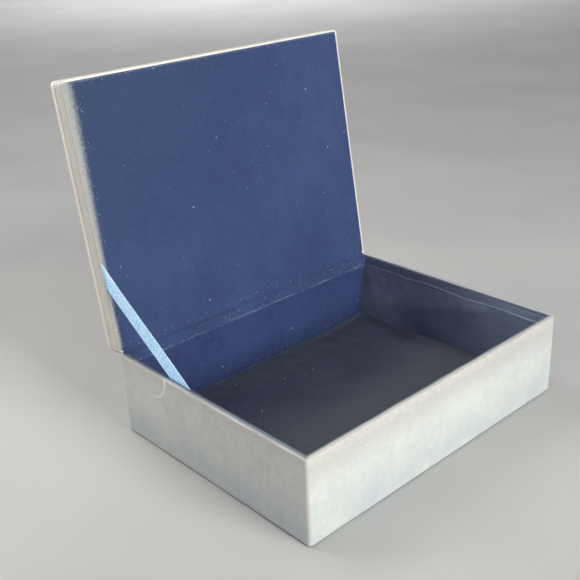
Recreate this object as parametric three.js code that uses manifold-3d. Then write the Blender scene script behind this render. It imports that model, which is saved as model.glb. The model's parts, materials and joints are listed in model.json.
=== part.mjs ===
// A hinged, velvet-lined case for drafting instruments: a board tray and a thick flat lid, both
// covered in silver paper, joined along the back edge by a covering strip outside and a velvet
// strip inside, and held open by one ribbon on the left. Millimetres, +Z up, front towards -Y.
// The origin is the middle of the underside. The lid stands open, which is the rest pose.
import * as THREE from "three";
import { mergeVertices } from "three/addons/utils/BufferGeometryUtils.js";
import Module from "manifold-3d";

const wasm = await Module();
wasm.setup();

// ---- Driving dimensions ----
const CASE_WIDTH = 240; // left to right, outside
const CASE_DEPTH = 180; // front to back, outside
const TRAY_HEIGHT = 58.5; // underside to rim
const LID_THICKNESS = 14;
const LID_GAP = 0.5; // room for the velvet between the rim and the closed lid
const OPEN_DEGREES = 98.5; // where the taut ribbon stops the lid
const CORNER_RADIUS = 2.5; // of the tray's upright corners and the lid's at the hinge
const LID_FRONT_RADIUS = 3; // of the lid's two front corners
const SPINE_RADIUS = 5; // of the lid's edge between its top and its spine
const COVERING = 0.5; // silver paper
const GLUE_ROOM = 0.5; // between the tray's boards and their covering, where the stays lie
const BOARD = 2; // tray walls
const PIECE_GAP = 0.25; // between neighbouring pieces of the lid, which stands at an angle
const PAST = 5; // how far a cutter runs past the face it opens

// ---- Tray ----
const BASE_SHEET = 0.5;
const BASE_SHEET_INSET = 2; // from the case's outside
const BASE_BOARD = 2.5;
const TURN_IN_BELOW = 15; // covering turned in under the base
const STAY_LEG = 20; // corner stay, along each wall
const STAY_TOP = 46;
const RIM_LINING = 1.5; // velvet strip round the top inside of the walls
const LINER_CARD = 1.5;
const LINER_VELVET = 1.5; // velvet and its backing, on the card's face
const LINER_CAP = 1; // velvet over the card's top edge
const LINER_TOP = 52; // leaves the rim lining showing above it
const FLOOR_CARD = 1.5;
const FLOOR_WADDING = 3;
const FLOOR_VELVET = 1;
const FLOOR_SKIRT = 0.75; // velvet down the floor pad's edges
const FLOOR_CLEARANCE = 0.25; // between the floor pad and the wall liners

// ---- Lid ----
const LID_BOARD = 3;
const LID_SIDE_CARD = 0.75;
const LID_LIP = 1.25; // covering turned in round the lid's mouth
const RAIL_WIDTH = 10;
const PANEL_INSET = 2.4; // from the lid's outside: leaves a slot for the ribbon
const PANEL_CARD = 1.5;
const PANEL_WADDING = 1.75;
const PANEL_VELVET = 1;
const PANEL_SKIRT = 0.75;

// ---- Hinge strips and ribbon ----
const SPINE_STRIP_BOTTOM = 47; // on the tray's back wall
const SPINE_STRIP_ON_LID = 8.5; // up the lid's spine
const SPINE_STRIP_JOINT = 0.1; // gap to the covering around it
const RIBBON_WIDTH = 12;
const RIBBON_THICKNESS = 0.4;
const RIBBON_TRAY_REACH = 68.4; // hinge to where it enters the wall liner, along the wall
const RIBBON_LID_REACH = 53; // hinge to where it enters the lid
const RIBBON_TAIL_IN_TRAY = 14;
const RIBBON_TAIL_IN_LID = 7.5;
const RIBBON_STRAIGHT = 12.5; // runs flat against the liner before it leans towards the lid's slot
const RIBBON_SLOT_ROOM = 0.3; // around its tail in the tray

// ---- Derived places ----
const HALF_WIDTH = CASE_WIDTH / 2;
const HALF_DEPTH = CASE_DEPTH / 2;
const SPINE_HALF_WIDTH = HALF_WIDTH - CORNER_RADIUS;
const BOARD_INSET = COVERING + GLUE_ROOM;
const WALL_INSET = BOARD_INSET + BOARD; // inner face of the boards
const LINER_INSET = WALL_INSET + LINER_CARD + LINER_VELVET; // inner face of the liners
const COVER_BOTTOM = BASE_SHEET;
const BOARD_BOTTOM = COVER_BOTTOM + COVERING;
const BOARD_TOP = TRAY_HEIGHT - COVERING;
const FLOOR_BOTTOM = BOARD_BOTTOM + BASE_BOARD;
const FLOOR_TOP = FLOOR_BOTTOM + FLOOR_CARD + FLOOR_WADDING + FLOOR_VELVET;
const RIM_LINING_TOP = TRAY_HEIGHT - 0.25;
const PIVOT_Y = HALF_DEPTH;
const PIVOT_Z = TRAY_HEIGHT + LID_GAP / 2;
const OPEN_ANGLE = THREE.MathUtils.degToRad(OPEN_DEGREES);
const LID_FACE = LID_GAP / 2; // the lid's velvet face above the pivot, when closed
const LID_CARD_INSET = COVERING + PIECE_GAP;
const PANEL_DEPTH = PANEL_VELVET + PANEL_WADDING + PANEL_CARD + 2 * PIECE_GAP;
const LID_BOARD_BOTTOM = LID_THICKNESS - COVERING - PIECE_GAP - LID_BOARD;

// ---- Finishes ----
const finish = (color, roughness) => new THREE.MeshStandardMaterial({ color, roughness, metalness: 0 });
const SILVER_PAPER = new THREE.MeshStandardMaterial({ color: 0xb9bcb8, roughness: 0.5, metalness: 0.25 });
const GREYBOARD = finish(0x8c8578, 0.95);
const KRAFT_PAPER = finish(0xb08d5e, 0.9);
const BASE_PAPER = finish(0xa9aaa6, 0.85);
const NAVY_VELVET = finish(0x1a2a5e, 0.95);
const WADDING = finish(0xe4e2da, 1);
const BLUE_RIBBON = finish(0x9fc6ee, 0.6);

// ---- Geometry helpers ----

// A box between its lowest and highest corners.
function boxBetween(low, high) {
  const size = high.map((value, axis) => value - low[axis]);
  const middle = high.map((value, axis) => (value + low[axis]) / 2);
  return new THREE.BoxGeometry(...size).translate(...middle);
}

// A box centred on the case's middle, set in from its outside by inset.
function insetBox(inset, bottom, top) {
  const x = HALF_WIDTH - inset;
  const y = HALF_DEPTH - inset;
  return boxBetween([-x, -y, bottom], [x, y, top]);
}

// The case's outline with rounded upright corners, set in by inset, from bottom to top.
function outlinePrism(inset, bottom, top, frontRadius = CORNER_RADIUS) {
  const front = frontRadius - inset;
  const back = CORNER_RADIUS - inset;
  const x = HALF_WIDTH - inset;
  const y = HALF_DEPTH - inset;
  const outline = new THREE.Shape()
    .absarc(x - back, y - back, back, 0, Math.PI / 2)
    .absarc(-x + back, y - back, back, Math.PI / 2, Math.PI)
    .absarc(-x + front, -y + front, front, Math.PI, 1.5 * Math.PI)
    .absarc(x - front, -y + front, front, 1.5 * Math.PI, 2 * Math.PI);
  const options = { depth: top - bottom, bevelEnabled: false, curveSegments: 6 };
  return new THREE.ExtrudeGeometry(outline, options).translate(0, 0, bottom);
}

// A shape drawn with y across and z up, extruded along X.
function shapeAlongX(shape, lowX, highX) {
  const options = { depth: highX - lowX, bevelEnabled: false, curveSegments: 6 };
  const geometry = new THREE.ExtrudeGeometry(shape, options);
  const turn = new THREE.Matrix4().makeBasis(
    new THREE.Vector3(0, 1, 0),
    new THREE.Vector3(0, 0, 1),
    new THREE.Vector3(1, 0, 0),
  );
  return geometry.applyMatrix4(turn).translate(lowX, 0, 0);
}

// A profile given as [y, z] points, counter-clockwise seen from +X, extruded along X.
function profileAlongX(points, lowX, highX) {
  const shape = new THREE.Shape(points.map(([y, z]) => new THREE.Vector2(y, z)));
  return shapeAlongX(shape, lowX, highX);
}

function toSolid(geometry) {
  const bare = geometry.clone().deleteAttribute("normal").deleteAttribute("uv");
  const merged = mergeVertices(bare, 1e-4);
  return new wasm.Manifold(
    new wasm.Mesh({
      numProp: 3,
      vertProperties: merged.attributes.position.array,
      triVerts: new Uint32Array(merged.index.array),
    }),
  );
}

function toGeometry(solid) {
  const mesh = solid.getMesh();
  const geometry = new THREE.BufferGeometry();
  geometry.setAttribute("position", new THREE.BufferAttribute(mesh.vertProperties, 3));
  geometry.setIndex(new THREE.BufferAttribute(mesh.triVerts, 1));
  geometry.computeVertexNormals();
  return geometry;
}

// The body with every cutter taken out of it.
function carve(body, ...cutters) {
  const solid = cutters.reduce((rest, cutter) => rest.subtract(toSolid(cutter)), toSolid(body));
  return toGeometry(solid);
}

// What two bodies share.
function common(body, other) {
  return toGeometry(toSolid(body).intersect(toSolid(other)));
}

function addPiece(parent, name, geometry, material) {
  const mesh = new THREE.Mesh(geometry, material);
  mesh.name = name;
  parent.add(mesh);
  return mesh;
}

// A flat strip along one wall. It starts inset from the case's outside and is thickness deep;
// the left and right strips stop short of the front and back ones by endTrim.
function wallStrip(side, inset, thickness, bottom, top, endTrim = thickness) {
  const x = HALF_WIDTH - inset;
  const y = HALF_DEPTH - inset;
  const inner = y - endTrim;
  const boxes = {
    front: [[-x, -y, bottom], [x, -y + thickness, top]],
    back: [[-x, y - thickness, bottom], [x, y, top]],
    left: [[-x, -inner, bottom], [-x + thickness, inner, top]],
    right: [[x - thickness, -inner, bottom], [x, inner, top]],
  };
  return boxBetween(...boxes[side]);
}

const SIDES = ["front", "back", "left", "right"];

// A point of the open lid, given as it lies when closed: behind the pivot in y, above it in z.
function onOpenLid(y, z) {
  const turned = new THREE.Vector2(y, z).rotateAround(new THREE.Vector2(), -OPEN_ANGLE);
  return [PIVOT_Y + turned.x, PIVOT_Z + turned.y];
}

// ---- Tray pieces ----

function addTrayShell(tray) {
  addPiece(tray, "tray_base_sheet", insetBox(BASE_SHEET_INSET, 0, BASE_SHEET), BASE_PAPER);
  addPiece(tray, "tray_base_board", insetBox(WALL_INSET, BOARD_BOTTOM, FLOOR_BOTTOM), GREYBOARD);
  const boards = outlinePrism(BOARD_INSET, 0, TRAY_HEIGHT);
  for (const side of SIDES) {
    const wall = wallStrip(side, BOARD_INSET, BOARD, BOARD_BOTTOM, BOARD_TOP);
    addPiece(tray, `tray_board_${side}`, common(wall, boards), GREYBOARD);
  }
}

// One L of gummed paper round an upright corner, between the boards and the covering.
function addCornerStays(tray) {
  const corners = { front_left: [-1, -1], front_right: [1, -1], back_left: [-1, 1], back_right: [1, 1] };
  const boards = outlinePrism(BOARD_INSET, 0, TRAY_HEIGHT);
  const sleeve = carve(outlinePrism(COVERING, BOARD_BOTTOM, STAY_TOP), boards);
  const reach = STAY_LEG + BOARD_INSET;
  for (const [name, [sx, sy]] of Object.entries(corners)) {
    const corner = new THREE.BoxGeometry(2 * reach, 2 * reach, 2 * TRAY_HEIGHT);
    corner.translate(sx * HALF_WIDTH, sy * HALF_DEPTH, 0);
    addPiece(tray, `corner_stay_${name}`, common(sleeve, corner), KRAFT_PAPER);
  }
}

// Silver paper round the four walls, turned in over the rim and under the base. On the back wall
// it stops where the spine strip starts, and it leaves the back rim to the hinge lining.
function addTrayCovering(tray) {
  const inner = HALF_DEPTH - COVERING;
  const rimMouthX = HALF_WIDTH - WALL_INSET;
  const rimMouthY = HALF_DEPTH - WALL_INSET;
  const covering = carve(
    outlinePrism(0, COVER_BOTTOM, TRAY_HEIGHT),
    outlinePrism(COVERING, BOARD_BOTTOM, BOARD_TOP),
    boxBetween([-rimMouthX, -rimMouthY, BOARD_TOP - PAST], [rimMouthX, inner, TRAY_HEIGHT + PAST]),
    insetBox(TURN_IN_BELOW, COVER_BOTTOM - PAST, BOARD_BOTTOM + COVERING),
    boxBetween(
      [-SPINE_HALF_WIDTH, inner, SPINE_STRIP_BOTTOM],
      [SPINE_HALF_WIDTH, CASE_DEPTH, TRAY_HEIGHT + PAST],
    ),
  );
  addPiece(tray, "tray_cover_paper", covering, SILVER_PAPER);
}

// The velvet strips above the liners. The back wall's is part of the hinge lining.
function addRimLinings(tray) {
  for (const side of ["front", "left", "right"]) {
    const strip = wallStrip(side, WALL_INSET, RIM_LINING, LINER_TOP, RIM_LINING_TOP);
    addPiece(tray, `rim_lining_${side}`, strip, NAVY_VELVET);
  }
}

// Each wall liner is a card with velvet on its face, wrapped over its top edge. The left one's
// velvet has a slot for the ribbon's tail.
function addWallLiners(tray, ribbonSlot) {
  const thickness = LINER_CARD + LINER_VELVET;
  const cardTop = LINER_TOP - LINER_CAP;
  for (const side of SIDES) {
    const card = wallStrip(side, WALL_INSET, LINER_CARD, FLOOR_BOTTOM, cardTop, thickness);
    addPiece(tray, `liner_card_${side}`, card, GREYBOARD);
    const wrapped = wallStrip(side, WALL_INSET, thickness, FLOOR_BOTTOM, LINER_TOP);
    const longCard = wallStrip(side, WALL_INSET - PAST, LINER_CARD + PAST, 0, cardTop, -PAST);
    const cutters = side === "left" ? [longCard, ribbonSlot] : [longCard];
    addPiece(tray, `liner_velvet_${side}`, carve(wrapped, ...cutters), NAVY_VELVET);
  }
}

// The floor pad: a card, a sheet of wadding, and velvet over both and down their edges.
function addFloorPad(tray) {
  const padInset = LINER_INSET + FLOOR_CLEARANCE;
  const coreInset = padInset + FLOOR_SKIRT;
  const waddingBottom = FLOOR_BOTTOM + FLOOR_CARD;
  const velvetBottom = waddingBottom + FLOOR_WADDING;
  addPiece(tray, "floor_card", insetBox(coreInset, FLOOR_BOTTOM, waddingBottom), GREYBOARD);
  addPiece(tray, "floor_wadding", insetBox(coreInset, waddingBottom, velvetBottom), WADDING);
  const velvet = carve(insetBox(padInset, FLOOR_BOTTOM, FLOOR_TOP), insetBox(coreInset, 0, velvetBottom));
  addPiece(tray, "floor_velvet", velvet, NAVY_VELVET);
}

// ---- Lid pieces, modelled closed: z = 0 is the velvet face and the middle is the origin ----

// The lid's outside shrunk by inset, from bottom up: round front corners and a round spine edge.
function lidForm(inset, bottom) {
  const top = LID_THICKNESS - inset;
  const back = HALF_DEPTH - inset;
  const radius = SPINE_RADIUS - inset;
  const section = new THREE.Shape()
    .moveTo(-CASE_DEPTH, bottom - PAST)
    .lineTo(back, bottom - PAST)
    .absarc(back - radius, top - radius, radius, 0, Math.PI / 2)
    .lineTo(-CASE_DEPTH, top);
  const outline = outlinePrism(inset, bottom, top + PAST, LID_FRONT_RADIUS);
  return common(outline, shapeAlongX(section, -CASE_WIDTH, CASE_WIDTH));
}

// Silver paper over the lid and down its sides, turned in round the mouth. The spine strip takes
// its place on the spine.
function lidCovering() {
  const mouthX = HALF_WIDTH - LID_LIP;
  const spine = HALF_DEPTH - COVERING - 0.1;
  const spineTop = SPINE_STRIP_ON_LID + PIECE_GAP;
  const spineEnd = SPINE_HALF_WIDTH + PIECE_GAP;
  return carve(
    lidForm(0, 0),
    lidForm(COVERING, COVERING),
    boxBetween([-mouthX, -HALF_DEPTH + LID_LIP, -PAST], [mouthX, HALF_DEPTH, COVERING + PIECE_GAP]),
    boxBetween([-spineEnd, spine, -PAST], [spineEnd, CASE_DEPTH, spineTop]),
  );
}

// The velvet-covered panel that closes the lid's inside: card, wadding, and velvet over both.
function addLidPanel(lid) {
  const coreInset = PANEL_INSET + PANEL_SKIRT + PIECE_GAP;
  const waddingBottom = PANEL_VELVET + PIECE_GAP;
  const cardBottom = waddingBottom + PANEL_WADDING + PIECE_GAP;
  const pan = carve(
    insetBox(PANEL_INSET, 0, PANEL_DEPTH),
    insetBox(PANEL_INSET + PANEL_SKIRT, PANEL_VELVET, PANEL_DEPTH + PAST),
  );
  addPiece(lid, "lid_panel_velvet", pan, NAVY_VELVET);
  const wadding = insetBox(coreInset, waddingBottom, waddingBottom + PANEL_WADDING);
  addPiece(lid, "lid_panel_wadding", wadding, WADDING);
  addPiece(lid, "lid_panel_card", insetBox(coreInset, cardBottom, cardBottom + PANEL_CARD), GREYBOARD);
}

// The lid's top board, its four side cards, and the rails that carry the panel.
function addLidFrame(lid) {
  const frameTop = LID_BOARD_BOTTOM - PIECE_GAP;
  const inside = lidForm(LID_CARD_INSET, 0);
  addPiece(lid, "lid_cover_paper", lidCovering(), SILVER_PAPER);
  addPiece(lid, "lid_cover_board", lidForm(LID_CARD_INSET, LID_BOARD_BOTTOM), GREYBOARD);
  for (const side of SIDES) {
    const cardTrim = LID_SIDE_CARD + PIECE_GAP;
    const cardBottom = COVERING + PIECE_GAP;
    const card = wallStrip(side, LID_CARD_INSET, LID_SIDE_CARD, cardBottom, frameTop, cardTrim);
    addPiece(lid, `lid_side_${side}`, common(card, inside), GREYBOARD);
    const railTrim = RAIL_WIDTH + PIECE_GAP;
    const railBottom = PANEL_DEPTH + PIECE_GAP;
    const rail = wallStrip(side, PANEL_INSET, RAIL_WIDTH, railBottom, frameTop, railTrim);
    addPiece(lid, `lid_rail_${side}`, rail, GREYBOARD);
  }
}

// ---- Pieces that cross the hinge ----

// The covering strip outside: up the back wall, round the pivot, and along the lid's spine.
function spineStrip() {
  const outer = HALF_DEPTH;
  const inner = HALF_DEPTH - COVERING;
  const bottom = SPINE_STRIP_BOTTOM + SPINE_STRIP_JOINT;
  const profile = [
    [outer, bottom],
    [outer, PIVOT_Z],
    onOpenLid(0, SPINE_STRIP_ON_LID),
    onOpenLid(-COVERING, SPINE_STRIP_ON_LID),
    onOpenLid(-COVERING, LID_FACE),
    [inner, PIVOT_Z + LID_FACE],
    [inner, bottom],
  ];
  const end = SPINE_HALF_WIDTH - SPINE_STRIP_JOINT;
  return profileAlongX(profile, -end, end);
}

// The velvet strip inside: up the back wall above its liner, over the rim, and onto the lid as
// far as the lid's panel.
function hingeLining() {
  const wall = HALF_DEPTH - WALL_INSET;
  const face = wall - RIM_LINING;
  const overBoard = BOARD_TOP + 0.1;
  const velvet = 0.5;
  const profile = [
    [face, LINER_TOP],
    [wall, LINER_TOP],
    [wall, overBoard],
    [PIVOT_Y - 0.7, overBoard],
    [PIVOT_Y - 0.6, PIVOT_Z + LID_FACE + 0.1],
    onOpenLid(-0.7, 0.1),
    onOpenLid(-PANEL_INSET + velvet, 0.1),
    onOpenLid(-PANEL_INSET + velvet, 0.1 - velvet),
    onOpenLid(-1, 0.1 - velvet),
    [PIVOT_Y - 1, TRAY_HEIGHT + velvet],
    [face + velvet, TRAY_HEIGHT + velvet / 2],
    [face, TRAY_HEIGHT - velvet / 2],
  ];
  const end = HALF_WIDTH - WALL_INSET - 0.1;
  return profileAlongX(profile, -end, end);
}

// Where the ribbon enters the tray's left liner and the lid's slot, as [y, z].
const RIBBON_IN_TRAY = [PIVOT_Y - RIBBON_TRAY_REACH, LINER_TOP];
const RIBBON_IN_LID = onOpenLid(-RIBBON_LID_REACH, LID_FACE);
const RIBBON_RISE = Math.atan2(
  RIBBON_IN_LID[1] - RIBBON_IN_TRAY[1],
  RIBBON_IN_LID[0] - RIBBON_IN_TRAY[0],
);
const RIBBON_SPAN = Math.hypot(
  RIBBON_IN_LID[0] - RIBBON_IN_TRAY[0],
  RIBBON_IN_LID[1] - RIBBON_IN_TRAY[1],
);
const RIBBON_X_IN_TRAY = -(HALF_WIDTH - WALL_INSET - RIM_LINING) + 0.55;
const RIBBON_X_IN_LID = -(HALF_WIDTH - PANEL_INSET) - 0.45;

// Places a geometry drawn as x across the case, y along the ribbon and z across its width.
function alongRibbon(geometry) {
  return geometry
    .translate(0, 0, -RIBBON_WIDTH / 2)
    .rotateX(RIBBON_RISE)
    .translate(0, RIBBON_IN_TRAY[0], RIBBON_IN_TRAY[1]);
}

// The ribbon, taut: straight, with one tail under the liner's velvet and one beside the lid's panel.
function stayRibbon() {
  const half = RIBBON_THICKNESS / 2;
  const leanEnd = RIBBON_SPAN - 7;
  const line = [
    [RIBBON_X_IN_TRAY, -RIBBON_TAIL_IN_TRAY],
    [RIBBON_X_IN_TRAY, RIBBON_STRAIGHT],
    [RIBBON_X_IN_LID, leanEnd],
    [RIBBON_X_IN_LID, RIBBON_SPAN + RIBBON_TAIL_IN_LID],
  ];
  const there = line.map(([x, y]) => new THREE.Vector2(x + half, y));
  const back = line.map(([x, y]) => new THREE.Vector2(x - half, y)).reverse();
  const outline = new THREE.Shape([...there, ...back]);
  const options = { depth: RIBBON_WIDTH, bevelEnabled: false };
  return alongRibbon(new THREE.ExtrudeGeometry(outline, options));
}

// The space the ribbon's tail takes in the left liner's velvet, opened to the back of the velvet.
function ribbonTailSlot() {
  const room = RIBBON_SLOT_ROOM;
  const low = RIBBON_X_IN_TRAY - RIBBON_THICKNESS / 2 - 2 * room;
  const high = RIBBON_X_IN_TRAY + RIBBON_THICKNESS / 2 + room;
  const slot = boxBetween(
    [low, -RIBBON_TAIL_IN_TRAY - room, -room],
    [high, 2 * RIBBON_WIDTH, RIBBON_WIDTH + room],
  );
  return alongRibbon(slot);
}

// ---- The case ----

function buildTray() {
  const tray = new THREE.Group();
  addTrayShell(tray);
  addCornerStays(tray);
  addTrayCovering(tray);
  addRimLinings(tray);
  addWallLiners(tray, ribbonTailSlot());
  addFloorPad(tray);
  addPiece(tray, "hinge_spine_strip", spineStrip(), SILVER_PAPER);
  addPiece(tray, "hinge_lining", hingeLining(), NAVY_VELVET);
  addPiece(tray, "stay_ribbon", stayRibbon(), BLUE_RIBBON);
  return tray;
}

function buildLid() {
  const closedLid = new THREE.Group();
  closedLid.position.set(0, -HALF_DEPTH, LID_FACE);
  addLidFrame(closedLid);
  addLidPanel(closedLid);
  const lid = new THREE.Group();
  lid.position.set(0, PIVOT_Y, PIVOT_Z);
  lid.rotation.x = -OPEN_ANGLE;
  lid.add(closedLid);
  return lid;
}

const group = new THREE.Group();
group.add(buildTray(), buildLid());

export default group;
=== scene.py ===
"""The looks of a hinged, velvet-lined case: a board tray and a thick lid covered in silver paper,
lined in navy velvet, with one pale blue ribbon that holds the lid open.

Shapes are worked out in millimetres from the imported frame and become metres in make_piece().
A path is a list of (across, up, radius) corners; a wall's "inset" is the distance in from the
case's outside. Lid pieces are drawn closed, in the lid's own frame, and then swung open.
"""

import json
import math

import bmesh
import bpy
import numpy as np
from mathutils import Matrix, Vector


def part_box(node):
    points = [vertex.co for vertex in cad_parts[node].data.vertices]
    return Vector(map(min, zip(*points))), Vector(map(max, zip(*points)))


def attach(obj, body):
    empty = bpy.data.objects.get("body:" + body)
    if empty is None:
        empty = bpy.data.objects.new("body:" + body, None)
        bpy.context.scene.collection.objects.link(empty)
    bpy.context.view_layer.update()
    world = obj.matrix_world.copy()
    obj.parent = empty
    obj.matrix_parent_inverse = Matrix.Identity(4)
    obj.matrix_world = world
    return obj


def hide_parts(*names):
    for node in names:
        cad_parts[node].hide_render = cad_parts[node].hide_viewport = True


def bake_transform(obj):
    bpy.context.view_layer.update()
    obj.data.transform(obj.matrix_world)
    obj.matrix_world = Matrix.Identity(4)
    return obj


MM = 0.001

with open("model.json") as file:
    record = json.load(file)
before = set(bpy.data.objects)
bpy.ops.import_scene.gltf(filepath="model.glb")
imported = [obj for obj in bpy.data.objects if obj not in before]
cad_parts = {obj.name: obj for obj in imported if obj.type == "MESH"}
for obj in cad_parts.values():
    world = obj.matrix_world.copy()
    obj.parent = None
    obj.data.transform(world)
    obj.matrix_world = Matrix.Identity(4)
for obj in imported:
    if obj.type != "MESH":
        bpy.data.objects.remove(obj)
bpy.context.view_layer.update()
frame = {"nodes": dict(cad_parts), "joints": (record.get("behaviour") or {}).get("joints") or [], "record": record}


# ---- Sizes from the frame, in millimetres ----


def box_mm(node):
    low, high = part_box(node)
    return np.array(low) / MM, np.array(high) / MM


hinge = frame["joints"][0]
PIVOT = Vector(hinge["pos_m"])
OPEN_ANGLE = math.radians(hinge["range_deg"][1])
SWING = Matrix.Translation(PIVOT) @ Matrix.Rotation(-OPEN_ANGLE, 4, "X")


def closed_box_mm(node, opening):
    """The box of a lid node with the lid swung shut, measured from the opening's own origin."""
    shut = opening.inverted()
    corners = np.array([shut @ v.co for v in frame["nodes"][node].data.vertices]) / MM
    return corners.min(0), corners.max(0)


TRAY_LOW, (HALF_X, HALF_Y, RIM) = box_mm("tray_cover_paper")
COVER_BOTTOM = TRAY_LOW[2]
LINING_LOW, LINING_HIGH = box_mm("rim_lining_left")
WALL_INSET, LINING_FACE = HALF_X + LINING_LOW[0], HALF_X + LINING_HIGH[0]
LINING_TOP = LINING_HIGH[2]
LINER_LOW, LINER_HIGH = box_mm("liner_velvet_left")
LINER_FACE = HALF_X + LINER_HIGH[0]
LINER_BOTTOM, LINER_TOP = LINER_LOW[2], LINER_HIGH[2]
CARD_HIGH = box_mm("liner_card_left")[1]
CARD_FACE, CARD_TOP = HALF_X + CARD_HIGH[0], CARD_HIGH[2]
PAD_LOW, PAD_HIGH = box_mm("floor_velvet")
STRIP_BOTTOM = box_mm("hinge_spine_strip")[0][2]

# The lid's origin is the middle of its mouth, at the height of its velvet face.
PANEL_FACE = closed_box_mm("lid_panel_velvet", SWING)[0][2]
LID = SWING @ Matrix.Translation(Vector((0, -HALF_Y, PANEL_FACE)) * MM)
LID_TOP = closed_box_mm("lid_cover_paper", LID)[1][2]
LID_BOARD_BOTTOM = closed_box_mm("lid_cover_board", LID)[0][2]

# ---- Sizes of the surface detail, in millimetres ----
CORNER_RADIUS = 2.5
LID_CORNER_RADIUS = 2.9
SPINE_RADIUS = 5.0
COVERING = 0.4
TURN_IN_BELOW = 15.0
MESH_STEP = 2.2


# ---- Shape helpers ----


def ripples(points, size, seed, waves=26):
    """Smooth seeded noise at points, mostly within -1 to 1, with swells about size across."""
    rng = np.random.default_rng(seed)
    ways = rng.normal(size=(waves, 3))
    ways /= np.linalg.norm(ways, axis=1)[:, None]
    pace = 2 * math.pi / size * rng.uniform(0.6, 1.5, waves)
    phase = rng.uniform(0, 2 * math.pi, waves)
    flat = np.asarray(points, float).reshape(-1, 3)
    total = np.sin(flat @ (ways * pace[:, None]).T + phase).sum(1)
    return (total / math.sqrt(waves)).reshape(np.asarray(points).shape[:-1])


def axes(points):
    """The X, Y and Z of points, which change with them."""
    return points[..., 0], points[..., 1], points[..., 2]


def ease(value, low, high):
    """0 below low, 1 above high, smooth between; low may be the greater."""
    t = np.clip((np.asarray(value, float) - low) / (high - low), 0, 1)
    return t * t * (3 - 2 * t)


def bell(value, middle, width):
    """A soft bump of height 1 at middle that fades out over about width on each side."""
    return np.exp(-(((value - middle) / width) ** 2))


def soft_path(corners, step, bends=5, closed=True):
    """A path through (a, b, radius) corners, each rounded off, with no stretch longer than step."""
    points = [np.array(c[:2], float) for c in corners]
    rounded = []
    count = len(points)
    for i, (corner, here) in enumerate(zip(corners, points)):
        inner = closed or 0 < i < count - 1
        if corner[2] <= 0 or not inner:
            rounded.append(here)
            continue
        before, after = points[i - 1], points[(i + 1) % count]
        start = here + (before - here) * min(0.49, corner[2] / np.linalg.norm(before - here))
        end = here + (after - here) * min(0.49, corner[2] / np.linalg.norm(after - here))
        for t in np.linspace(0, 1, bends + 1):
            rounded.append((1 - t) ** 2 * start + 2 * t * (1 - t) * here + t * t * end)
    out = []
    last = len(rounded) if closed else len(rounded) - 1
    for i in range(last):
        a, b = rounded[i], rounded[(i + 1) % len(rounded)]
        parts = max(1, math.ceil(np.linalg.norm(b - a) / step))
        out += [a + (b - a) * k / parts for k in range(parts)]
    if not closed:
        out.append(rounded[-1])
    return np.array(out)


def outline(radius, step, fine=()):
    """Places round the case, counter-clockwise from the front left. Each row is the place on the
    rectangle inside the corner arcs, as shares of its half sizes, and the outward normal.
    fine lists (side, low, high, step) stretches that are sampled more closely."""
    rows = []
    sides = (
        ("front", HALF_X, lambda t: (t, -1, 0, -1), 1),
        ("right", HALF_Y, lambda t: (1, t, 1, 0), 1),
        ("back", HALF_X, lambda t: (t, 1, 0, 1), -1),
        ("left", HALF_Y, lambda t: (-1, t, -1, 0), -1),
    )
    for turn, (side, half, row, way) in enumerate(sides):
        reach = half - radius
        places = list(np.linspace(-reach, reach, round(2 * reach / step) + 1))
        for name, low, high, small in fine:
            if name == side:
                places = [p for p in places if not low < p < high]
                places += [*np.arange(low, high, small)]
        for place in sorted(places)[::way]:
            rows.append(row(place / reach))
        corner = ((1, -1), (1, 1), (-1, 1), (-1, -1))[turn]
        for share in np.linspace(0, 1, 9)[1:-1]:
            angle = math.pi / 2 * (turn - 1 + share)
            rows.append((*corner, math.cos(angle), math.sin(angle)))
    return np.array(rows)


def ring(samples, radius, inset):
    """The outline's points, set in by inset."""
    core = max(radius, inset)
    arc = max(radius - inset, 0)
    x = samples[:, 0] * (HALF_X - core) + samples[:, 2] * arc
    y = samples[:, 1] * (HALF_Y - core) + samples[:, 3] * arc
    return np.stack([x, y], 1)


def sweep(samples, radius, profile):
    """Points (round the case, along the profile, xyz) of a profile given as (inset, height)."""
    layers = [ring(samples, radius, inset) for inset, _ in profile]
    flat = np.stack(layers, 1)
    height = np.broadcast_to(profile[:, 1], flat.shape[:2])
    return np.concatenate([flat, height[..., None]], 2)


def push_out(points, samples, push):
    """Moves points outward by push, along the outline's normals."""
    points[..., 0] += push * samples[:, None, 2]
    points[..., 1] += push * samples[:, None, 3]


def wall_bar(side, profile, step):
    """Points of a strip along one wall, its (inset, height) profile mitred at both ends."""
    along, half = (HALF_X, HALF_Y) if side in ("front", "back") else (HALF_Y, HALF_X)
    sign = -1 if side in ("front", "left") else 1
    share = np.linspace(-1, 1, round(2 * along / step))[:, None]
    far = sign * (half - profile[:, 0])[None, :] * np.ones_like(share)
    run = share * (along - profile[:, 0])[None, :]
    height = np.broadcast_to(profile[:, 1], run.shape)
    order = (run, far, height) if side in ("front", "back") else (far, run, height)
    return np.stack(order, 2)


def lattice_faces(rows, columns, closed_rows, closed_columns):
    faces = []
    for i in range(rows if closed_rows else rows - 1):
        here, ahead = i * columns, (i + 1) % rows * columns
        for j in range(columns if closed_columns else columns - 1):
            k = (j + 1) % columns
            faces.append((here + j, here + k, ahead + k, ahead + j))
    return faces


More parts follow.
